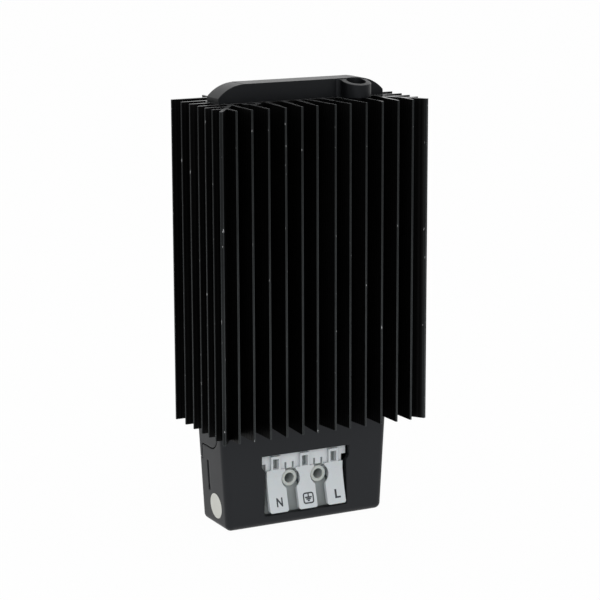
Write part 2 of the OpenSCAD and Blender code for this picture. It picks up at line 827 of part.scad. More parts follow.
// Rail clip
module clip_side() {
    translate([seat_y, turn_z]) square([clip_t, hook_top + clip_t - turn_z]);
    translate([seat_y, hook_top]) square([lip_y + clip_t - seat_y, clip_t]);
    translate([lip_y, hook_top - hook_reach]) square([clip_t, hook_reach + clip_t]);
    translate([clip_y + turn_r, turn_z]) intersection() {
        difference() {
            circle(r = turn_r + clip_t);
            circle(r = turn_r);
        }
        translate([-2 * (turn_r + clip_t), -2 * (turn_r + clip_t)])
            square([4 * (turn_r + clip_t), 2 * (turn_r + clip_t)]);
    }
    leaf_y = clip_y + 2 * turn_r;
    translate([leaf_y, turn_z]) square([clip_t, hook_low - turn_z]);
    translate([lip_y, hook_low - clip_t]) square([leaf_y + clip_t - lip_y, clip_t]);
    translate([lip_y, hook_low - clip_t]) square([clip_t, clip_t + hook_reach]);
}

module clip_screw_places() {
    for (s = [-1, 1]) translate([0, seat_y, rail_z + s * clip_screw_pitch / 2])
        rotate([-90, 0, 0]) children();
}

module rail_clip() {
    color(steel) difference() {
        from_side(0, clip_w) clip_side();
        clip_screw_places() translate([0, 0, -past]) cylinder(r = clip_hole_r, h = clip_t + 2 * past);
    }
}

module clip_screws() {
    color(steel) clip_screw_places() translate([0, 0, clip_t]) screw(clip_head, clip_screw_r, clip_screw_len);
}

heatsink();
end_cap();
cap_screw();
terminal_cover();
terminal_base();
base_screws();
terminal_block();
block_screws();
lever(-1, [1]);  // lever_n
lever(0, [-1, 1]);  // lever_earth
lever(1, [-1]);  // lever_l
clamp_spring(-1);  // clamp_spring_n
clamp_spring(0);  // clamp_spring_earth
clamp_spring(1);  // clamp_spring_l
contact_bar(-1);  // contact_bar_n
contact_bar(0);  // contact_bar_earth
contact_bar(1);  // contact_bar_l
ptc_stone(0);  // ptc_stone_1
ptc_stone(1);  // ptc_stone_2
ptc_stone(2);  // ptc_stone_3
electrode(-1);  // electrode_front
electrode(1);  // electrode_rear
insulating_sleeve();
lead_n();
lead_earth();
lead_l();
earth_ring();
earth_screw();
rail_clip();
clip_screws();
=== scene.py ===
"""Looks of a finned enclosure heater: anodised fins, moulded housing, white lever terminal.

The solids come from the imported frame. This file gives them their finishes and adds the printed
signs on the levers and the bare round label on the housing's side.
"""

import math

import bpy
from mathutils import Matrix, Vector


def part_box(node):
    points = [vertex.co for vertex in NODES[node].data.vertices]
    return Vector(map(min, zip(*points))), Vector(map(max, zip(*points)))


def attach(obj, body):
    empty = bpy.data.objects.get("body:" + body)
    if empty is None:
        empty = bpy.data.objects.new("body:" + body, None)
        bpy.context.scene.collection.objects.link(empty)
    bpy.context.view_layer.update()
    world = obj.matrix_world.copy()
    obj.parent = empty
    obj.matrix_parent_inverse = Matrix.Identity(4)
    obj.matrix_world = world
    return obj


bl_info = {
    "name": "Enclosure heater finish",
    "version": (1, 0, 0),
    "blender": (4, 5, 0),
    "location": "View3D > Sidebar > Heater",
    "description": "Finishes, printed signs, label and studio for a finned enclosure heater",
    "category": "Object",
}

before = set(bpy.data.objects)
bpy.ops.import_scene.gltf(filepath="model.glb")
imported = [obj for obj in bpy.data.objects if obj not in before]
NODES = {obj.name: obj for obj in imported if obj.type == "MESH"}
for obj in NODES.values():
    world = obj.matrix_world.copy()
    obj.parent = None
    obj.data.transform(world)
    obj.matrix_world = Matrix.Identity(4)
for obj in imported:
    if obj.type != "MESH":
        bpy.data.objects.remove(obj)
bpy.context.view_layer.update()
MM = 0.001
CAD_BODY = "frame"

# Which nodes share a finish
HOUSING = ("terminal_cover", "terminal_base")
LEVERS = ("lever_n", "lever_earth", "lever_l")
ZINC_SCREWS = ("cap_screw", "base_screws", "block_screws", "earth_screw", "clip_screws")
SPRING_STEEL = ("rail_clip", "clamp_spring_n", "clamp_spring_earth", "clamp_spring_l")
CONTACT_BARS = ("contact_bar_n", "contact_bar_earth", "contact_bar_l")
STONES = ("ptc_stone_1", "ptc_stone_2", "ptc_stone_3")
SHEET_METAL = ("electrode_front", "electrode_rear", "earth_ring")

# Where the fins' tips are worn and carry a painted highlight, and where the corners get burrs, in millimetres
# from the profile's outer faces
TIP_DEPTH = 0.8
TIP_BLUR = 0.2
CORNER_DEPTH_X = 3.0
CORNER_DEPTH_Y = 5.0
CORNER_BLUR = 2.0
# How squarely a face has to look outwards to count as a fin's tip
TIP_FACING = 0.4
# Tints of the profile's greys
COOL = (1, 1.02, 1.04)
BARE = (1, 1.01, 1.03)
RUBBED_AND_HIGHLIGHT_TINT = (0.94, 1.03, 1.06)

# Where the painted light on the block's top and the painted shade in its recesses start and blend, in
# millimetres
HEADER_BLUR = 0.2
RECESS_SHADE_START = 0.4
RECESS_SHADE_END = 1.0

# Stripes along a lead: half their period and where in it the second colour starts, in millimetres
STRIPE_HALF_PERIOD = 1.2
STRIPE_START = 0.8
# The second colour of a plain lead, as a share of its first
LEAD_SHADE = 0.9

# The earth sign: shares of its frame's width, of half that width and of its stroke
EARTH_FRAME_HEIGHT = 0.92
EARTH_CORNER = 0.22
EARTH_STEM_LOW = 0.12
EARTH_BARS = (1.25, 0.85, 0.4)
EARTH_BAR_PITCH = 1.15

# How far off the signs and the label start before they are laid on
SIGN_GAP = 1 * MM
LABEL_GAP = 2 * MM
# How finely they are cut, the label's inner ring as a share of its diameter, and its rounded rim
SIGN_SLICES = 12
LABEL_CORNERS = 72
LABEL_INSET = 0.04
LABEL_RIM = 0.03 * MM

# Studio, in metres
FLOOR_SIZE = 6
KEY_PLACE = (-0.45, -0.85, 0.55)
KEY_AIM = (0, 0, 0.07)
KEY_SIZE = 0.7
FILL_PLACE = (0.75, -0.6, 0.5)
FILL_AIM = (0, 0, 0.06)
FILL_SIZE = 0.6
# The floor's own colour, and how much of it the white background covers
FLOOR_WHITE = 0.86
FLOOR_GLOW = 0.97
# Width of the camera's sensor, in millimetres
SENSOR_WIDTH = 36.0


def middle(node):
    """The centre of a node's box."""
    low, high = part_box(node)
    return (Vector(low) + Vector(high)) / 2


class Field:
    """A shader socket that takes part in Python sums; each operator adds one Math node."""

    def __init__(self, graph, socket):
        self.graph = graph
        self.socket = socket

    def __add__(self, other):
        return self.graph.math("ADD", self, other)

    def __radd__(self, other):
        return self.graph.math("ADD", other, self)

    def __sub__(self, other):
        return self.graph.math("SUBTRACT", self, other)

    def __rsub__(self, other):
        return self.graph.math("SUBTRACT", other, self)

    def __mul__(self, other):
        return self.graph.math("MULTIPLY", self, other)

    def __rmul__(self, other):
        return self.graph.math("MULTIPLY", other, self)

    def __gt__(self, other):
        return self.graph.math("GREATER_THAN", self, other)

    def __lt__(self, other):
        return self.graph.math("LESS_THAN", self, other)

    def __abs__(self):
        return self.graph.math("ABSOLUTE", self)

    def rise(self, start, end):
        """0 below start, 1 above end, smooth between."""
        return self.graph.node(
            "ShaderNodeMapRange",
            {"interpolation_type": "SMOOTHSTEP"},
            {"Value": self, "From Min": start, "From Max": end},
        )


class Graph:
    """One material and its nodes."""

    def __init__(self, name, **constants):
        self.material = bpy.data.materials.new(name)
        self.material.use_nodes = True
        self.tree = self.material.node_tree
        self.shader = self.tree.nodes["Principled BSDF"]
        for socket, value in constants.items():
            self.shader.inputs[socket.replace("_", " ")].default_value = value

    def feed(self, socket, value):
        """Links a field to a socket, or sets a plain value on it."""
        if isinstance(value, Field):
            self.tree.links.new(value.socket, socket)
        else:
            socket.default_value = value

    def node(self, kind, settings=None, inputs=None, output=0):
        """Adds a node: its settings first, then the values or links of its sockets."""
        node = self.tree.nodes.new(kind)
        for key, value in (settings or {}).items():
            setattr(node, key, value)
        for key, value in (inputs or {}).items():
            self.feed(node.inputs[key], value)
        return Field(self, node.outputs[output])

    def math(self, operation, *values):
        """One Math node on fields or numbers."""
        return self.node("ShaderNodeMath", {"operation": operation}, dict(enumerate(values)))

    def vector(self, operation, *values, output=0):
        """One Vector Math node."""
        return self.node("ShaderNodeVectorMath", {"operation": operation}, dict(enumerate(values)), output)

    def mix(self, factor, first, second):
        """A colour between two colours."""
        return self.node("ShaderNodeMix", {"data_type": "RGBA"}, {0: factor, 6: first, 7: second}, output=2)

    def place(self, scale=(1, 1, 1)):
        """The piece's own coordinates, in millimetres, stretched by a scale."""
        coordinates = self.node("ShaderNodeTexCoord", output="Object")
        stretch = tuple(value / MM for value in scale)
        return self.vector("MULTIPLY", coordinates, stretch)

    def noise(self, size, detail=3.0, roughness=0.55, stretch=(1, 1, 1)):
        """Noise from 0 to 1 with features of about that many millimetres."""
        return self.node(
            "ShaderNodeTexNoise",
            None,
            {"Vector": self.place(stretch), "Scale": 1 / size, "Detail": detail, "Roughness": roughness},
        )

    def axes(self, vector):
        """The three numbers of a vector."""
        parts = self.node("ShaderNodeSeparateXYZ", None, {0: vector})
        outputs = parts.socket.node.outputs
        return [Field(self, outputs[i]) for i in range(3)]

    def facing(self):
        """The flat normal of the surface."""
        return self.node("ShaderNodeNewGeometry", output="True Normal")

    def softened(self, radius):
        """The normal as it would be with edges rounded to that radius in millimetres."""
        return self.node("ShaderNodeBevel", {"samples": 6}, {"Radius": radius * MM})

    def edges(self, radius, faint=0.02, full=0.22):
        """1 along sharp edges, 0 on flat faces; smaller limits give a wider band."""
        likeness = self.vector("DOT_PRODUCT", self.softened(radius), self.facing(), output="Value")
        return (1 - likeness).rise(faint, full)

    def bump(self, height, depth, normal=None):
        """A normal from a height field, with depth in millimetres."""
        inputs = {"Height": height, "Strength": 1.0, "Distance": depth * MM}
        if normal is not None:
            inputs["Normal"] = normal
        return self.node("ShaderNodeBump", None, inputs)

    def finish(self, **inputs):
        """Feeds the shader and gives the material."""
        for socket, value in inputs.items():
            self.feed(self.shader.inputs[socket.replace("_", " ")], value)
        return self.material


def grey(level, tint=(1, 1, 1)):
    """A colour of one level, slightly tinted."""
    return tuple(level * part for part in tint) + (1,)


def opaque(colour, share=1.0):
    """A colour with its alpha, darkened or brightened by a share."""
    return tuple(share * part for part in colour) + (1,)


def dress(names, material):
    """Gives CAD nodes a material; their meshes stay as they are."""
    for name in names:
        data = NODES[name].data
        if not data.materials:
            data.materials.append(material)
        for index in range(len(data.materials)):
            data.materials[index] = material


# Finishes

def outer_band(distance, reach, depth, blur):
    """1 in the outermost part of the profile, from that depth below its reach on."""
    start = reach - depth
    return distance.rise(start, start + blur)


def anodised_fins(look):
    """Black anodised profile: ribbed fins, fin tips worn and given a painted highlight that is brighter
    towards the bottom, nicks and sawn ends with burrs.
    """
    graph = Graph("black_anodised_profile", Specular_IOR_Level=look.gloss)
    low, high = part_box("heatsink")
    x, y, z = graph.axes(graph.place())
    nx, ny, nz = graph.axes(graph.facing())
    rim = graph.edges(0.35, 0.01, 0.1)
    sawn = abs(nz).rise(0.6, 0.9)
    out_x = abs(x - (low[0] + high[0]) / 2 / MM)
    out_y = abs(y - (low[1] + high[1]) / 2 / MM)
    reach_x = (high[0] - low[0]) / 2 / MM
    reach_y = (high[1] - low[1]) / 2 / MM
    side_tips = outer_band(out_x, reach_x, TIP_DEPTH, TIP_BLUR) * (abs(nx) > TIP_FACING)
    front_tips = outer_band(out_y, reach_y, TIP_DEPTH, TIP_BLUR) * (abs(ny) > TIP_FACING)
    tips = graph.math("MAXIMUM", side_tips, front_tips)
    corner_x = outer_band(out_x, reach_x, CORNER_DEPTH_X, CORNER_BLUR)
    corner_y = outer_band(out_y, reach_y, CORNER_DEPTH_Y, CORNER_BLUR)
    # Painted light: the fin tips are painted twice as bright at the bottom of the profile as at its top.
    painted_light_below = z.rise(high[2] / MM, low[2] / MM)
    # Partly wear, partly painted highlight: the fin tips are lighter, most of all along their edges.
    rubbed_and_highlight = tips * (0.2 + rim * 0.8) * graph.noise(6.0, detail=4.0, stretch=(1, 1, 0.2)).rise(-0.2, 0.6)
    nicks = tips * (ny < 0.6) * graph.noise(0.9, detail=3.0, stretch=(1, 1, 0.4)).rise(0.67, 0.71)
    burrs = sawn * (graph.noise(2.0, detail=2.0) + corner_x * corner_y * 0.2).rise(0.66, 0.76)
    saw_lines = graph.noise(0.35, detail=2.0, stretch=(1, 0.06, 1))
    shade = graph.noise(9.0, stretch=(1, 1, 0.15)).rise(0.25, 0.75)
    black = graph.mix(shade, grey(look.black * 0.7), grey(look.black * 1.25, COOL))
    sawn_face = graph.mix(saw_lines, grey(look.sawn * 0.5), grey(look.sawn, COOL))
    # The tips' colour: partly wear, partly painted highlight, painted brighter towards the bottom.
    worn = graph.mix(painted_light_below, grey(look.rubbed_and_highlight * 0.5, RUBBED_AND_HIGHLIGHT_TINT), grey(look.rubbed_and_highlight, RUBBED_AND_HIGHLIGHT_TINT))
    colour = graph.mix(rubbed_and_highlight, black, worn)
    colour = graph.mix(sawn, colour, sawn_face)
    colour = graph.mix(burrs, colour, grey(look.bare * 0.5, BARE))
    colour = graph.mix(nicks, colour, grey(look.bare, BARE))
    half_pitch = look.rib_pitch / MM / 2
    ribs_y = graph.math("PINGPONG", y, half_pitch)
    ribs_x = graph.math("PINGPONG", x, half_pitch)
    ribs = ribs_y * (abs(nx) > 0.5) + ribs_x * (abs(ny) > 0.8)
    draw_lines = graph.noise(0.2, detail=2.0, stretch=(1, 1, 0.01)) * (1 - sawn)
    normal = graph.bump(ribs + draw_lines * 0.06, look.rib_depth / MM, graph.softened(0.1))
    return graph.finish(
        Base_Color=colour,
        Metallic=nicks * 0.6 + sawn * 0.6,
        Roughness=0.36 + shade * 0.1 + tips * 0.2 - sawn * 0.2,
        Normal=normal,
    )


def moulded_black(name, look, edge_radius, depth=1.0, polish=1.0):
    """Black moulded plastic with a fine spark-eroded grain; depth darkens it, polish smooths it."""
    graph = Graph(name, Specular_IOR_Level=look.gloss * depth, Specular_Tint=(0.9, 0.94, 1.0, 1))
    base = [c * depth for c in look.colour]
    grain = graph.noise(look.grain / MM, detail=4.0, roughness=0.65)
    cloud = graph.noise(14.0, detail=3.0)
    rub = graph.edges(0.5) * graph.noise(3.0, detail=4.0).rise(0.5, 0.72)
    colour = graph.mix(cloud, opaque(base, 0.85), opaque(base, 1.15))
    colour = graph.mix(rub * 0.35, colour, grey(0.06))
    normal = graph.bump(grain, 0.012, graph.softened(edge_radius / MM))
    return graph.finish(
        Base_Color=colour,
        Roughness=look.roughness / polish + (grain - 0.5) * 0.16 + (cloud - 0.5) * 0.08,
        Normal=normal,
    )


def white_graph(name):
    """The start of a white moulded plastic."""
    return Graph(name, Specular_IOR_Level=0.4, Subsurface_Weight=0.06, Subsurface_Scale=0.6 * MM)


def white_finish(graph, colour):
    """Smooth moulded plastic of a colour, with faint flow marks and a little dust."""
    flow = graph.noise(6.0, detail=3.0, stretch=(1, 1, 0.4))
    grain = graph.noise(0.12, detail=2.0)
    dust = graph.noise(1.1, detail=4.0).rise(0.66, 0.82)
    colour = graph.mix(flow * 0.06, colour, grey(0.0))
    colour = graph.mix(dust * 0.05, colour, (0.3, 0.29, 0.26, 1))
    normal = graph.bump(grain, 0.004, graph.softened(0.22))
    return graph.finish(Base_Color=colour, Roughness=0.4 + flow * 0.12, Normal=normal)


def lever_white(look):
    """The levers' plain white."""
    return white_finish(white_graph("white_moulded_levers"), opaque(look.white))


def block_white(look):
    """The block's white: painted paler along its top, grey-green below it and on its screw tubes, partly as
    its own tint and partly as painted shade, and painted grey as shade in its recesses.
    """
    graph = white_graph("white_moulded_block")
    low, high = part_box("terminal_block")
    y, z = graph.axes(graph.place())[1:]
    front = low[1] / MM
    header_low = (high[2] - look.header_height) / MM
    # Painted light: the block's top is painted a paler white than the levers.
    header = z.rise(header_low - HEADER_BLUR, header_low + HEADER_BLUR)
    # Painted shade: the block is painted grey where it lies deeper than its front face.
    recess_shade = y.rise(front + RECESS_SHADE_START, front + RECESS_SHADE_END)
    # Below its top the block takes the tubes' grey-green: partly its own tint, partly painted shade.
    colour = graph.mix(header, opaque(look.tube_tint_and_shade), opaque(look.header))
    colour = graph.mix(recess_shade, colour, opaque(look.recess_shade))
    return white_finish(graph, colour)


def zinc_steel():
    """Zinc plated screws with turning marks."""
    graph = Graph("zinc_plated_steel")
    cloud = graph.noise(1.8, detail=4.0)
    colour = graph.mix(cloud, grey(0.42, (1, 1, 1.02)), grey(0.62, (1, 1, 0.99)))
    normal = graph.bump(graph.noise(0.15, detail=3.0), 0.01, graph.softened(0.12))
    return graph.finish(Base_Color=colour, Metallic=1.0, Roughness=0.28 + cloud * 0.16, Normal=normal)


def spring_steel():
    """Bright rolled spring steel, drawn along its length."""
    graph = Graph("rolled_spring_steel")
    lines = graph.noise(0.5, detail=4.0, stretch=(1, 1, 0.03))
    stain = graph.noise(7.0, detail=4.0).rise(0.4, 0.75)
    colour = graph.mix(stain, grey(0.5, (1, 1, 1.03)), grey(0.36, (1.03, 1, 0.96)))
    normal = graph.bump(lines, 0.006, graph.softened(0.15))
    return graph.finish(Base_Color=colour, Metallic=1.0, Roughness=0.24 + lines * 0.2, Normal=normal)


def tinned_brass():
    """Brass bar with a thin dull tin coat, worn through at its edges."""
    graph = Graph("tinned_brass")
    worn = graph.edges(0.2) * graph.noise(0.8, detail=3.0).rise(0.4, 0.6)
    cloud = graph.noise(2.5)
    tin = graph.mix(cloud, grey(0.55), grey(0.68, (1, 1, 0.97)))
    colour = graph.mix(worn, tin, (0.6, 0.4, 0.16, 1))
    normal = graph.softened(0.1)
    return graph.finish(Base_Color=colour, Metallic=1.0, Roughness=0.3 + cloud * 0.15, Normal=normal)


def rolled_aluminium():
    """Thin aluminium sheet with rolling lines."""
    graph = Graph("rolled_aluminium")
    lines = graph.noise(0.4, detail=4.0, stretch=(1, 1, 0.04))
    colour = graph.mix(lines, grey(0.55, (1, 1, 1.01)), grey(0.68, (1, 1, 1.02)))
    return graph.finish(Base_Color=colour, Metallic=1.0, Roughness=0.32 + lines * 0.15)


def ceramic_stone():
    """Sintered grey ceramic with a sandy grain."""
    graph = Graph("sintered_ceramic")
    grain = graph.noise(0.3, detail=5.0, roughness=0.7)
    colour = graph.mix(grain, grey(0.14, (1, 0.98, 0.95)), grey(0.26))
    normal = graph.bump(grain, 0.03)
    return graph.finish(Base_Color=colour, Roughness=0.8 + (grain - 0.5) * 0.2, Normal=normal)


def amber_film():
    """Amber insulating film."""
    graph = Graph("amber_film")
    cloud = graph.noise(5.0)
    colour = graph.mix(cloud, (0.42, 0.18, 0.02, 1), (0.56, 0.27, 0.04, 1))
    return graph.finish(Base_Color=colour, Roughness=0.2 + cloud * 0.1)


def silicone_lead(name, first, second):
    """Silicone lead with two colours along it, which are near each other on a plain lead."""
    graph = Graph(name)
    x, y, z = graph.axes(graph.place())
    stripe = graph.math("PINGPONG", x + y + z, STRIPE_HALF_PERIOD) > STRIPE_START
    powder = graph.noise(0.6, detail=3.0)
    colour = graph.mix(stripe, opaque(first), opaque(second))
    return graph.finish(Base_Color=colour, Roughness=0.5 + powder * 0.15, Normal=graph.bump(powder, 0.01))


def print_ink(look):
    """Dark pad-printed ink, a little uneven."""
    graph = Graph("pad_print")
    cover = graph.noise(0.25, detail=3.0)
    colour = graph.mix(cover, opaque(look.ink), opaque(look.ink, 1.6))
    return graph.finish(Base_Color=colour, Roughness=0.45 + cover * 0.15)


def label_vinyl(look):
    """Bare white vinyl label, unevenly yellowed."""
    graph = Graph("label_vinyl", Specular_IOR_Level=0.35)
    cloud = graph.noise(2.5, detail=4.0)
    yellowed = [c * t for c, t in zip(look.colour, (0.93, 0.92, 0.88))]
    colour = graph.mix(cloud, opaque(look.colour), opaque(yellowed))
    return graph.finish(Base_Color=colour, Roughness=0.42 + cloud * 0.12, Normal=graph.bump(cloud, 0.02))


# Modelling helpers

def deselect():
    """Leaves edit mode and selects nothing."""
    if bpy.context.object and bpy.context.object.mode != "OBJECT":
        bpy.ops.object.mode_set(mode="OBJECT")
    bpy.ops.object.select_all(action="DESELECT")


def bake_place():
    """Puts the active object's place, turn and scale into its mesh."""
    bpy.ops.object.transform_apply(location=True, rotation=True, scale=True)


def apply_modifier(piece, kind, name, **settings):
    """Adds a modifier with its settings and applies it."""
    modifier = piece.modifiers.new(name, kind)
    for key, value in settings.items():
        setattr(modifier, key, value)
    bpy.ops.object.modifier_apply(modifier=name)


def slice_heights(low, high, count):
    """Cuts the active mesh across at even heights, so that it can follow a curved face."""
    bpy.ops.object.mode_set(mode="EDIT")
    for step in range(1, count):
        height = low + (high - low) * step / count
        bpy.ops.mesh.select_all(action="SELECT")
        bpy.ops.mesh.bisect(plane_co=(0, 0, height), plane_no=(0, 0, 1))
    bpy.ops.object.mode_set(mode="OBJECT")


def lay_on(piece, node, axis, thickness):
    """Projects a flat piece along an axis onto a CAD node and gives it a thickness."""
    apply_modifier(
        piece, "SHRINKWRAP", "lie", target=NODES[node], wrap_method="PROJECT", offset=0.0,
        use_project_x=axis == "X", use_project_y=axis == "Y", use_positive_direction=True,
    )
    apply_modifier(piece, "SOLIDIFY", "thickness", thickness=thickness, offset=0.0)


def join(pieces, name):
    """Joins pieces into the first one."""
    deselect()
    for piece in pieces:
        piece.select_set(True)
    bpy.context.view_layer.objects.active = pieces[0]
    bpy.ops.object.join()
    pieces[0].name = name
    return pieces[0]


# Sizes and colours

class FinLook(bpy.types.PropertyGroup):
    """The heat sink's finish."""

    black: bpy.props.FloatProperty(
        name="Black", description="Brightness of the anodised black", default=0.0022, min=0.0, max=1.0)
    gloss: bpy.props.FloatProperty(
        name="Gloss", description="Level of the mirror reflection", default=0.06, min=0.0, max=1.0)
    # Wear and painted highlight: how bright the fins' tips are painted.
    rubbed_and_highlight: bpy.props.FloatProperty(
        name="Rubbed edges", description="Brightness of the fins' edges", default=0.1, min=0.0, max=1.0)
    sawn: bpy.props.FloatProperty(
        name="Sawn ends", description="Brightness of the sawn ends", default=0.2, min=0.0, max=1.0)
    bare: bpy.props.FloatProperty(
        name="Bare metal", description="Brightness of the nicks in the black", default=0.4, min=0.0, max=1.0)
    rib_pitch: bpy.props.FloatProperty(
        name="Rib pitch", description="Distance between the fine ribs on the fins",
        default=1.1 * MM, unit="LENGTH", precision=5)
    rib_depth: bpy.props.FloatProperty(
        name="Rib depth", description="Depth of the fine ribs", default=0.1 * MM, unit="LENGTH", precision=5)


class MouldingLook(bpy.types.PropertyGroup):
    """The finish of the cap and the connection housing."""

    colour: bpy.props.FloatVectorProperty(
        name="Colour", description="Colour of the black plastic", subtype="COLOR", size=3,
        default=(0.0052, 0.0056, 0.0066), min=0.0, max=1.0)
    gloss: bpy.props.FloatProperty(
        name="Gloss", description="Level of the mirror reflection", default=0.3, min=0.0, max=1.0)
    cap_depth: bpy.props.FloatProperty(
        name="Cap depth", description="How dark the cap is beside the housing", default=0.6, min=0.0, max=1.0)
    cap_polish: bpy.props.FloatProperty(
        name="Cap polish", description="How smooth the cap is beside the housing",
        default=1.35, min=0.5, max=4.0)
    roughness: bpy.props.FloatProperty(
        name="Roughness", description="Roughness of the grained surface", default=0.44, min=0.0, max=1.0)
    grain: bpy.props.FloatProperty(
        name="Grain", description="Size of the grain", default=0.16 * MM, unit="LENGTH", precision=5)
    housing_edge: bpy.props.FloatProperty(
        name="Housing edge", description="Radius to which the light shows the housing's edges rounded",
        default=0.8 * MM, unit="LENGTH", precision=5)
    cap_edge: bpy.props.FloatProperty(
        name="Cap edge", description="Radius to which the light shows the cap's edges rounded",
        default=0.3 * MM, unit="LENGTH", precision=5)


class TerminalLook(bpy.types.PropertyGroup):
    """The finish of the terminal and the signs on its levers."""

    white: bpy.props.FloatVectorProperty(
        name="White", description="Colour of the white plastic", subtype="COLOR", size=3,
        default=(0.64, 0.68, 0.70), min=0.0, max=1.0)
    # Painted light: a paler white on the block's top, so that it looks as lit as the levers.
    header: bpy.props.FloatVectorProperty(
        name="Header", description="Colour of the block's header", subtype="COLOR", size=3,
        default=(0.7, 0.735, 0.755), min=0.0, max=1.0)
    # Partly the block's own grey-green tint, partly painted shade on its tubes and below its top.
    tube_tint_and_shade: bpy.props.FloatVectorProperty(
        name="Tubes", description="Colour of the screw tubes", subtype="COLOR", size=3,
        default=(0.56, 0.6, 0.57), min=0.0, max=1.0)
    # Painted shade: the grey painted into the block's recesses.
    recess_shade: bpy.props.FloatVectorProperty(
        name="Recesses", description="Colour of the block's recesses", subtype="COLOR", size=3,
        default=(0.39, 0.425, 0.425), min=0.0, max=1.0)
    header_height: bpy.props.FloatProperty(
        name="Header height", description="Height of the block's header",
        default=5.7 * MM, unit="LENGTH", precision=5)
    ink: bpy.props.FloatVectorProperty(
        name="Ink", description="Colour of the printed signs", subtype="COLOR", size=3,
        default=(0.018, 0.02, 0.024), min=0.0, max=1.0)
    sign_height: bpy.props.FloatProperty(
        name="Letter height", description="Height of the printed letters",
        default=2.75 * MM, unit="LENGTH", precision=5)
    sign_lift: bpy.props.FloatProperty(
        name="Sign lift", description="Height of the signs' middle above a lever's lower end",
        default=3.1 * MM, unit="LENGTH", precision=5)
    sign_shift: bpy.props.FloatProperty(
        name="Sign shift", description="How far the signs stand to the right of a lever's middle",
        default=0.35 * MM, unit="LENGTH", precision=5)
    frame_width: bpy.props.FloatProperty(
        name="Earth frame", description="Width of the frame round the earth sign",
        default=3.8 * MM, unit="LENGTH", precision=5)
    stroke: bpy.props.FloatProperty(
        name="Stroke", description="Line width of the earth sign",
        default=0.44 * MM, unit="LENGTH", precision=5)
    n_width: bpy.props.FloatProperty(
        name="Width of N", description="Width of the letter N",
        default=2.15 * MM, unit="LENGTH", precision=5)
    l_width: bpy.props.FloatProperty(
        name="Width of L", description="Width of the letter L",
        default=2.0 * MM, unit="LENGTH", precision=5)
    l_shift: bpy.props.FloatProperty(
        name="Shift of L", description="How far the L stands to the right of the other signs' places",
        default=0.25 * MM, unit="LENGTH", precision=5)
    boldness: bpy.props.FloatProperty(
        name="Boldness", description="How much the letters' lines are thickened, as a share of their size",
        default=0.028, min=0.0, max=0.1)
    ink_thickness: bpy.props.FloatProperty(
        name="Ink thickness", description="Thickness of the printed ink",
        default=0.04 * MM, unit="LENGTH", precision=6)


class LabelLook(bpy.types.PropertyGroup):
    """The bare round label on the housing's left side."""

    diameter: bpy.props.FloatProperty(
        name="Diameter", description="Diameter of the label", default=8.05 * MM, unit="LENGTH", precision=5)
    thickness: bpy.props.FloatProperty(
        name="Thickness", description="Thickness of the label", default=0.12 * MM, unit="LENGTH", precision=5)
    height: bpy.props.FloatProperty(
        name="Height", description="Height of its middle above the base",
        default=6.8 * MM, unit="LENGTH", precision=5)
    back: bpy.props.FloatProperty(
        name="Place", description="Place of its middle, front is negative",
        default=-1.65 * MM, unit="LENGTH", precision=5)
    colour: bpy.props.FloatVectorProperty(
        name="Colour", description="Colour of the label", subtype="COLOR", size=3,
        default=(0.75, 0.76, 0.72), min=0.0, max=1.0)


class StageLook(bpy.types.PropertyGroup):
    """Camera, floor and studio light."""

    camera: bpy.props.FloatVectorProperty(
        name="Camera", description="Place of the camera", subtype="TRANSLATION", size=3, unit="LENGTH",
        default=(-306.05 * MM, -598.78 * MM, 211.83 * MM))
    yaw: bpy.props.FloatProperty(
        name="Yaw", description="Turn of the camera to the right",
        subtype="ANGLE", default=math.radians(27.29))
    pitch: bpy.props.FloatProperty(
        name="Pitch", description="Tilt of the camera downwards",
        subtype="ANGLE", default=math.radians(11.93))
    roll: bpy.props.FloatProperty(
        name="Roll", description="Turn of the camera about its own axis",
        subtype="ANGLE", default=math.radians(0.19))
    lens: bpy.props.FloatProperty(
        name="Lens", description="Focal length of the camera in millimetres", default=131.16, min=1.0)
    backdrop: bpy.props.FloatProperty(
        name="Backdrop", description="Brightness of the white background", default=1.0, min=0.0)
    ambient: bpy.props.FloatProperty(
        name="Ambient", description="Brightness of the surrounding light", default=0.75, min=0.0)
    key: bpy.props.FloatProperty(
        name="Key light", description="Power of the large lamp in front on the left", default=2.5, min=0.0)
    fill: bpy.props.FloatProperty(
        name="Fill light", description="Power of the lamp on the right", default=0.8, min=0.0)


# Operators

class HEATER_OT_dress_profile(bpy.types.Operator):
    """Gives the extruded heat sink its anodised finish"""

    bl_idname = "heater.dress_profile"
    bl_label = "Dress heat sink"

    def execute(self, context):
        dress(["heatsink"], anodised_fins(context.scene.heater_fins))
        return {"FINISHED"}


class HEATER_OT_dress_mouldings(bpy.types.Operator):
    """Gives the cap and the two housing shells their grained black plastic"""

    bl_idname = "heater.dress_mouldings"
    bl_label = "Dress mouldings"

    def execute(self, context):
        look = context.scene.heater_moulding
        dress(HOUSING, moulded_black("black_moulded_housing", look, look.housing_edge))
        cap = moulded_black("black_moulded_cap", look, look.cap_edge, look.cap_depth, look.cap_polish)
        dress(["end_cap"], cap)
        return {"FINISHED"}


class HEATER_OT_dress_terminal(bpy.types.Operator):
    """Gives the terminal block and its levers their white plastic"""

    bl_idname = "heater.dress_terminal"
    bl_label = "Dress terminal"

    def execute(self, context):
        look = context.scene.heater_terminal
        dress(["terminal_block"], block_white(look))
        dress(LEVERS, lever_white(look))
        return {"FINISHED"}


class HEATER_OT_dress_metal(bpy.types.Operator):
    """Gives screws, springs, bars and sheet metal their finishes"""

    bl_idname = "heater.dress_metal"
    bl_label = "Dress metal parts"

    def execute(self, context):
        dress(ZINC_SCREWS, zinc_steel())
        dress(SPRING_STEEL, spring_steel())
        dress(CONTACT_BARS, tinned_brass())
        dress(SHEET_METAL, rolled_aluminium())
        return {"FINISHED"}


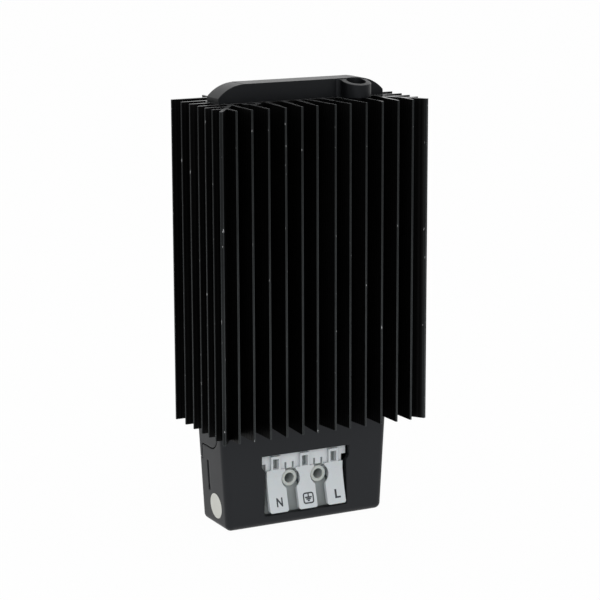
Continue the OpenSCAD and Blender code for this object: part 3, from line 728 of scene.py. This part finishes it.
class HEATER_OT_dress_inside(bpy.types.Operator):
    """Gives the heating stack and the leads their finishes"""

    bl_idname = "heater.dress_inside"
    bl_label = "Dress heating stack"

    def execute(self, context):
        blue = (0.02, 0.07, 0.3)
        brown = (0.11, 0.045, 0.016)
        green = (0.06, 0.26, 0.03)
        yellow = (0.7, 0.55, 0.03)
        dress(STONES, ceramic_stone())
        dress(["insulating_sleeve"], amber_film())
        dress(["lead_n"], silicone_lead("blue_silicone", blue, [LEAD_SHADE * c for c in blue]))
        dress(["lead_l"], silicone_lead("brown_silicone", brown, [LEAD_SHADE * c for c in brown]))
        dress(["lead_earth"], silicone_lead("green_yellow_silicone", green, yellow))
        return {"FINISHED"}


class HEATER_OT_add_signs(bpy.types.Operator):
    """Prints N, the earth sign and L on the levers"""

    bl_idname = "heater.add_signs"
    bl_label = "Add lever signs"

    def execute(self, context):
        look = context.scene.heater_terminal
        ink = print_ink(look)
        signs = (
            ("lever_n", letter("N", look.n_width, look), 0.0),
            ("lever_earth", earth_sign(look), 0.0),
            ("lever_l", letter("L", look.l_width, look), look.l_shift),
        )
        for lever, sign, shift in signs:
            self.print_sign(lever, sign, look.sign_shift + shift, look)
            sign.data.materials.clear()
            sign.data.materials.append(ink)
            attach(sign, lever)
        return {"FINISHED"}

    def print_sign(self, lever, sign, shift, look):
        """Moves a flat sign in front of its lever and lays it on the curved face."""
        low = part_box(lever)[0]
        deselect()
        sign.select_set(True)
        bpy.context.view_layer.objects.active = sign
        sign.location = (middle(lever).x + shift, low[1] - SIGN_GAP, low[2] + look.sign_lift)
        bake_place()
        heights = [vertex.co.z for vertex in sign.data.vertices]
        slice_heights(min(heights), max(heights), SIGN_SLICES)
        lay_on(sign, lever, "Y", look.ink_thickness)


def letter(character, width, look):
    """A flat upright letter of a width, centred on the origin and facing the front."""
    deselect()
    bpy.ops.object.text_add(rotation=(math.radians(90), 0, 0))
    text = bpy.context.object
    text.data.body = character
    text.data.align_x = "CENTER"
    text.data.align_y = "CENTER"
    text.data.size = 1.0
    text.data.offset = look.boldness
    bpy.ops.object.convert(target="MESH")
    bake_place()
    piece = bpy.context.object
    piece.name = "sign_" + character.lower()
    size = piece.dimensions
    piece.scale = (width / size.x, 1, look.sign_height / size.z)
    bake_place()
    corners = [vertex.co for vertex in piece.data.vertices]
    middle_x = (min(c.x for c in corners) + max(c.x for c in corners)) / 2
    middle_z = (min(c.z for c in corners) + max(c.z for c in corners)) / 2
    piece.location = (-middle_x, 0, -middle_z)
    bake_place()
    return piece


def bar(width, height, x, z):
    """A flat bar facing the front."""
    deselect()
    bpy.ops.mesh.primitive_plane_add(size=1, rotation=(math.radians(90), 0, 0))
    piece = bpy.context.object
    piece.scale = (width, height, 1)
    piece.location = (x, 0, z)
    bake_place()
    return piece


def earth_sign(look):
    """A rounded frame with the earth sign in it: a stem and three bars, each shorter than the one above."""
    outer = bar(look.frame_width, look.frame_width * EARTH_FRAME_HEIGHT, 0, 0)
    bpy.ops.object.mode_set(mode="EDIT")
    bpy.ops.mesh.select_all(action="SELECT")
    bpy.ops.mesh.bevel(affect="VERTICES", offset=look.frame_width * EARTH_CORNER, segments=6)
    bpy.ops.mesh.select_all(action="SELECT")
    bpy.ops.mesh.inset(thickness=look.stroke)
    bpy.ops.mesh.delete(type="FACE")
    bpy.ops.object.mode_set(mode="OBJECT")
    half = look.frame_width / 2
    stem_low = half * EARTH_STEM_LOW
    stem_high = half * EARTH_FRAME_HEIGHT - look.stroke
    stem = bar(look.stroke, stem_high - stem_low, 0, (stem_high + stem_low) / 2)
    pieces = [outer, stem]
    for index, width in enumerate(EARTH_BARS):
        drop = index * EARTH_BAR_PITCH * look.stroke
        pieces.append(bar(width * half, look.stroke, 0, stem_low - drop))
    return join(pieces, "sign_earth")


class HEATER_OT_add_label(bpy.types.Operator):
    """Sticks the bare round label on the housing's left side"""

    bl_idname = "heater.add_label"
    bl_label = "Add label"

    def execute(self, context):
        look = context.scene.heater_label
        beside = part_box("terminal_cover")[0][0] - LABEL_GAP
        deselect()
        bpy.ops.mesh.primitive_circle_add(
            vertices=LABEL_CORNERS, radius=look.diameter / 2, fill_type="NGON",
            location=(beside, look.back, look.height), rotation=(0, math.radians(-90), 0))
        label = bpy.context.object
        label.name = "round_label"
        bake_place()
        bpy.ops.object.mode_set(mode="EDIT")
        bpy.ops.mesh.select_all(action="SELECT")
        bpy.ops.mesh.inset(thickness=look.diameter * LABEL_INSET)
        bpy.ops.object.mode_set(mode="OBJECT")
        lay_on(label, "terminal_cover", "X", look.thickness)
        apply_modifier(label, "BEVEL", "soft_rim", width=LABEL_RIM, segments=2, limit_method="ANGLE")
        label.data.materials.append(label_vinyl(look))
        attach(label, CAD_BODY)
        return {"FINISHED"}


class HEATER_OT_set_stage(bpy.types.Operator):
    """Sets the camera, the pale floor and the soft studio light"""

    bl_idname = "heater.set_stage"
    bl_label = "Set stage"

    def execute(self, context):
        look = context.scene.heater_stage
        context.scene.view_settings.view_transform = "Standard"
        self.set_camera(context, look)
        self.set_world(context, look)
        self.add_floor(look)
        self.add_lamp("key_light", look.key, KEY_SIZE, KEY_PLACE, KEY_AIM)
        self.add_lamp("fill_light", look.fill, FILL_SIZE, FILL_PLACE, FILL_AIM)
        return {"FINISHED"}

    def set_camera(self, context, look):
        """The camera that took the photograph, as far as it could be worked out."""
        data = bpy.data.cameras.new("photo_camera")
        data.sensor_width = SENSOR_WIDTH
        data.lens = look.lens
        camera = bpy.data.objects.new("photo_camera", data)
        camera.location = look.camera
        turn = Matrix.Rotation(-look.yaw, 3, "Z")
        tilt = Matrix.Rotation(math.radians(90) - look.pitch, 3, "X")
        roll = Matrix.Rotation(-look.roll, 3, "Z")
        camera.rotation_euler = (turn @ tilt @ roll).to_euler()
        context.scene.collection.objects.link(camera)
        context.scene.camera = camera

    def set_world(self, context, look):
        """White where the camera, gloss and glass see it, softer as a light."""
        world = bpy.data.worlds.new("studio")
        world.use_nodes = True
        tree = world.node_tree
        background = tree.nodes["Background"]
        background.inputs["Color"].default_value = (1, 1, 1, 1)
        seen = seen_directly(tree)
        level = tree.nodes.new("ShaderNodeMapRange")
        level.inputs["To Min"].default_value = look.ambient
        level.inputs["To Max"].default_value = look.backdrop
        tree.links.new(seen, level.inputs["Value"])
        tree.links.new(level.outputs[0], background.inputs["Strength"])
        context.scene.world = world

    def add_floor(self, look):
        """A wide pale floor that shows as the white background and keeps a soft shadow."""
        deselect()
        bpy.ops.mesh.primitive_plane_add(size=FLOOR_SIZE)
        floor = bpy.context.object
        floor.name = "floor"
        material = bpy.data.materials.new("pale_floor")
        material.use_nodes = True
        tree = material.node_tree
        tree.nodes.remove(tree.nodes["Principled BSDF"])
        matt = tree.nodes.new("ShaderNodeBsdfDiffuse")
        matt.inputs["Color"].default_value = grey(FLOOR_WHITE)
        glow = tree.nodes.new("ShaderNodeEmission")
        glow.inputs["Strength"].default_value = look.backdrop
        share = tree.nodes.new("ShaderNodeMath")
        share.operation = "MULTIPLY"
        share.inputs[1].default_value = FLOOR_GLOW
        both = tree.nodes.new("ShaderNodeMixShader")
        tree.links.new(seen_directly(tree), share.inputs[0])
        tree.links.new(share.outputs[0], both.inputs["Fac"])
        tree.links.new(matt.outputs[0], both.inputs[1])
        tree.links.new(glow.outputs[0], both.inputs[2])
        tree.links.new(both.outputs[0], tree.nodes["Material Output"].inputs["Surface"])
        floor.data.materials.append(material)

    def add_lamp(self, name, power, size, place, aim):
        """A square soft lamp, turned to a point."""
        data = bpy.data.lights.new(name, "AREA")
        data.energy = power
        data.size = size
        lamp = bpy.data.objects.new(name, data)
        lamp.location = place
        lamp.rotation_euler = (Vector(aim) - Vector(place)).to_track_quat("-Z", "Y").to_euler()
        bpy.context.scene.collection.objects.link(lamp)


def seen_directly(tree):
    """1 for rays from the camera, from gloss and through glass, 0 for the light on surfaces."""
    path = tree.nodes.new("ShaderNodeLightPath")
    total = path.outputs["Is Camera Ray"]
    for name in ("Is Glossy Ray", "Is Transmission Ray"):
        larger = tree.nodes.new("ShaderNodeMath")
        larger.operation = "MAXIMUM"
        tree.links.new(total, larger.inputs[0])
        tree.links.new(path.outputs[name], larger.inputs[1])
        total = larger.outputs[0]
    return total


class HEATER_PT_panel(bpy.types.Panel):
    """Lists the steps that dress the heater"""

    bl_label = "Enclosure heater"
    bl_idname = "HEATER_PT_panel"
    bl_space_type = "VIEW_3D"
    bl_region_type = "UI"
    bl_category = "Heater"

    def draw(self, context):
        for operator in OPERATORS:
            self.layout.operator(operator.bl_idname)


LOOKS = {
    "heater_fins": FinLook,
    "heater_moulding": MouldingLook,
    "heater_terminal": TerminalLook,
    "heater_label": LabelLook,
    "heater_stage": StageLook,
}
OPERATORS = (
    HEATER_OT_dress_profile,
    HEATER_OT_dress_mouldings,
    HEATER_OT_dress_terminal,
    HEATER_OT_dress_metal,
    HEATER_OT_dress_inside,
    HEATER_OT_add_signs,
    HEATER_OT_add_label,
    HEATER_OT_set_stage,
)


def register():
    """Makes the properties, operators and panel known to Blender."""
    for name, group in LOOKS.items():
        bpy.utils.register_class(group)
        setattr(bpy.types.Scene, name, bpy.props.PointerProperty(type=group))
    for operator in OPERATORS:
        bpy.utils.register_class(operator)
    bpy.utils.register_class(HEATER_PT_panel)


def unregister():
    """Takes them away again."""
    bpy.utils.unregister_class(HEATER_PT_panel)
    for operator in reversed(OPERATORS):
        bpy.utils.unregister_class(operator)
    for name, group in reversed(LOOKS.items()):
        delattr(bpy.types.Scene, name)
        bpy.utils.unregister_class(group)


def main():
    """Dresses the frame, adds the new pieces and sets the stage."""
    register()
    bpy.ops.heater.dress_profile()
    bpy.ops.heater.dress_mouldings()
    bpy.ops.heater.dress_terminal()
    bpy.ops.heater.dress_metal()
    bpy.ops.heater.dress_inside()
    bpy.ops.heater.add_signs()
    bpy.ops.heater.add_label()
    bpy.ops.heater.set_stage()


if __name__ == "__main__":
    main()
